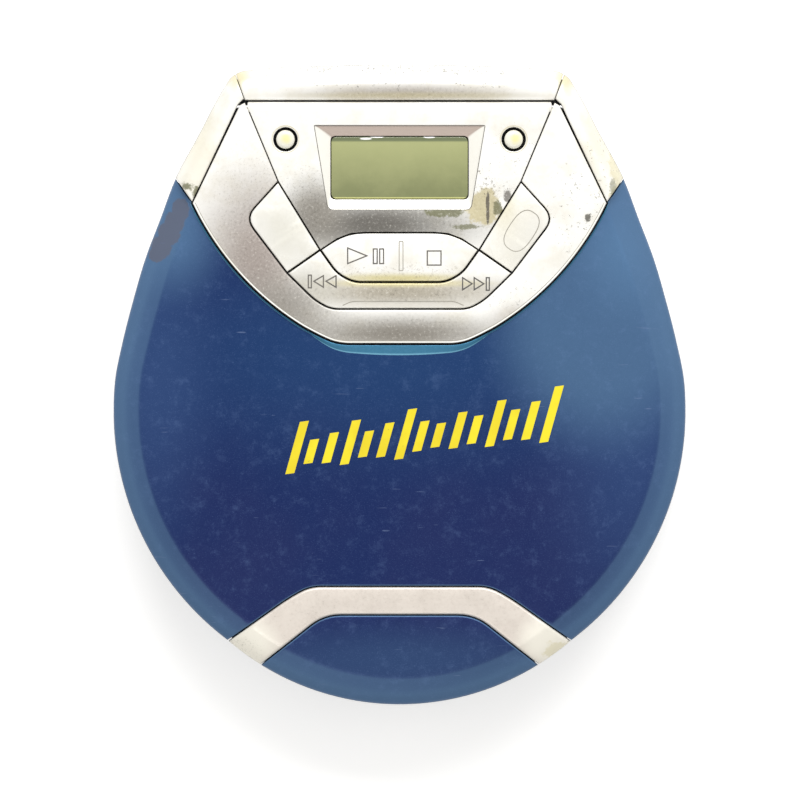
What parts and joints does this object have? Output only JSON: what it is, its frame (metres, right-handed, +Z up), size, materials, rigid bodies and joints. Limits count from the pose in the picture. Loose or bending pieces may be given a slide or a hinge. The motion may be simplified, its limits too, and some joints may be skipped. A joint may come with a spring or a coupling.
{
  "type": "portable disc player",
  "caption": "Flat teardrop-shaped portable disc player with a hinged lid, a silver control panel with a display and keys, and a battery bay underneath.",
  "frame": {"origin": "under the middle of the player's box, on the surface that its feet stand on", "axes": "+X to the player's right, +Y to its rear, where the lid is hinged, +Z up"},
  "size_m": [0.134, 0.1498, 0.0304],
  "materials": {
    "lid_blue": "pearl blue paint, fine scratches",
    "panel_silver": "silver painted plastic, worn",
    "case_blue": "dark blue moulded plastic",
    "deck_grey": "dark grey moulded plastic",
    "cover_grey": "grey moulded plastic",
    "button_cream": "cream plastic",
    "lens_olive": "clear window over an olive liquid crystal display",
    "rubber_black": "matt rubber",
    "rubber_grey": "silicone rubber",
    "steel": "bright steel",
    "brass": "plated brass",
    "board_green": "green solder mask",
    "gear_white": "white acetal",
    "black_plastic": "black moulded plastic",
    "laser_glass": "coated moulded lens"
  },
  "bodies": {
    "housing": {"bottom_case": "case_blue", "deck": "deck_grey", "rear_bar": "panel_silver", "left_side_bar": "panel_silver", "right_side_bar": "panel_silver", "left_hinge_pin": "steel", "right_hinge_pin": "steel", "rubber_foot_1": "rubber_black", "rubber_foot_2": "rubber_black", "rubber_foot_3": "rubber_black", "rubber_foot_4": "rubber_black", "case_screw_1": "steel", "case_screw_2": "steel", "case_screw_3": "steel", "case_screw_4": "steel", "battery_tub": "black_plastic", "battery_plate_left": "brass", "battery_plate_right": "brass", "battery_spring_front": "steel", "battery_spring_rear": "steel", "mech_chassis": "steel", "guide_rail_front": "steel", "guide_rail_rear": "steel", "rubber_damper_1": "rubber_black", "rubber_damper_2": "rubber_black", "rubber_damper_3": "rubber_black", "spindle_motor": "steel", "sled_motor": "steel", "main_board": "board_green", "headphone_jack": "black_plastic", "line_out_jack": "black_plastic", "power_jack": "black_plastic", "open_button_spring": "steel"},
    "lid": {"lid_shell": "lid_blue", "arch_trim": "panel_silver", "front_crescent": "lid_blue", "control_panel": "panel_silver", "display_panel": "panel_silver", "display_lens": "lens_olive", "lcd_panel": "black_plastic", "key_board": "board_green", "rubber_keypad": "rubber_grey", "lid_inner_cover": "cover_grey"},
    "left_key": {"left_key": "panel_silver"},
    "right_key": {"right_key": "panel_silver"},
    "left_round_button": {"left_round_button": "button_cream"},
    "right_round_button": {"right_round_button": "button_cream"},
    "play_stop_key": {"play_stop_key": "panel_silver"},
    "skip_key": {"skip_key": "panel_silver"},
    "turntable": {"turntable": "black_plastic", "spindle_shaft": "steel"},
    "sled": {"laser_sled": "black_plastic"},
    "lens": {"lens_holder": "black_plastic", "laser_lens": "laser_glass"},
    "drive_gear": {"drive_gear": "gear_white"},
    "motor_pinion": {"motor_pinion": "brass"},
    "battery_door": {"battery_door": "case_blue"},
    "open_button": {"open_button": "panel_silver"},
    "hold_switch": {"hold_switch_knob": "panel_silver"},
    "volume_wheel": {"volume_wheel": "black_plastic"}
  },
  "joints": [
    {"name": "lid_hinge", "type": "hinge", "parent": "housing", "child": "lid", "pos_m": [0, 0.0648, 0.0288], "axis": [-1, 0, 0], "range_deg": [0, 60]},
    {"name": "left_key_press", "type": "slide", "parent": "lid", "child": "left_key", "axis": [0, 0, -1], "range_m": [0, 0.0005], "stiffness_N_per_m": 200},
    {"name": "right_key_press", "type": "slide", "parent": "lid", "child": "right_key", "axis": [0, 0, -1], "range_m": [0, 0.0005], "stiffness_N_per_m": 200},
    {"name": "left_button_press", "type": "slide", "parent": "lid", "child": "left_round_button", "axis": [0, 0, -1], "range_m": [0, 0.0005], "stiffness_N_per_m": 200},
    {"name": "right_button_press", "type": "slide", "parent": "lid", "child": "right_round_button", "axis": [0, 0, -1], "range_m": [0, 0.0005], "stiffness_N_per_m": 200},
    {"name": "play_stop_rock", "type": "hinge", "parent": "lid", "child": "play_stop_key", "pos_m": [0, 0.0299, 0.02745], "axis": [0, 1, 0], "range_deg": [-1.5, 1.5], "stiffness_Nm_per_rad": 0.2},
    {"name": "skip_rock", "type": "hinge", "parent": "lid", "child": "skip_key", "pos_m": [0, 0.0231, 0.02745], "axis": [0, 1, 0], "range_deg": [-1, 1], "stiffness_Nm_per_rad": 0.2},
    {"name": "disc_spin", "type": "hinge", "parent": "housing", "child": "turntable", "pos_m": [0, -0.0063, 0.0195], "axis": [0, 0, 1], "continuous": true},
    {"name": "sled_travel", "type": "slide", "parent": "housing", "child": "sled", "axis": [1, 0, 0], "range_m": [0, 0.033]},
    {"name": "lens_focus", "type": "slide", "parent": "sled", "child": "lens", "axis": [0, 0, 1], "range_m": [-0.0003, 0.0003], "stiffness_N_per_m": 100},
    {"name": "drive_gear_turn", "type": "hinge", "parent": "housing", "child": "drive_gear", "pos_m": [0.02561, -0.02294, 0.0078], "axis": [0, 0, 1], "range_deg": [-530, 5]},
    {"name": "motor_pinion_turn", "type": "hinge", "parent": "housing", "child": "motor_pinion", "pos_m": [0.01663, -0.03089, 0.0078], "axis": [0, 0, 1], "range_deg": [-15, 1590]},
    {"name": "battery_door_hinge", "type": "hinge", "parent": "housing", "child": "battery_door", "pos_m": [0, 0.0304, 0.0019], "axis": [-1, 0, 0], "range_deg": [0, 95]},
    {"name": "open_button_press", "type": "slide", "parent": "housing", "child": "open_button", "axis": [0, 1, 0], "range_m": [0, 0.0015], "stiffness_N_per_m": 300, "deforming": ["open_button_spring"]},
    {"name": "hold_switch_slide", "type": "slide", "parent": "housing", "child": "hold_switch", "axis": [0.7314, 0.682, 0], "range_m": [-0.002, 0.002]},
    {"name": "volume_turn", "type": "hinge", "parent": "housing", "child": "volume_wheel", "pos_m": [0.05121, -0.03353, 0.0094], "axis": [0, 0, 1], "range_deg": [-135, 135]}
  ],
  "couplings": [
    {"joint": "drive_gear_turn", "follows": "sled_travel", "rad_per_m": -277.78},
    {"joint": "motor_pinion_turn", "follows": "sled_travel", "rad_per_m": 833.33}
  ]
}
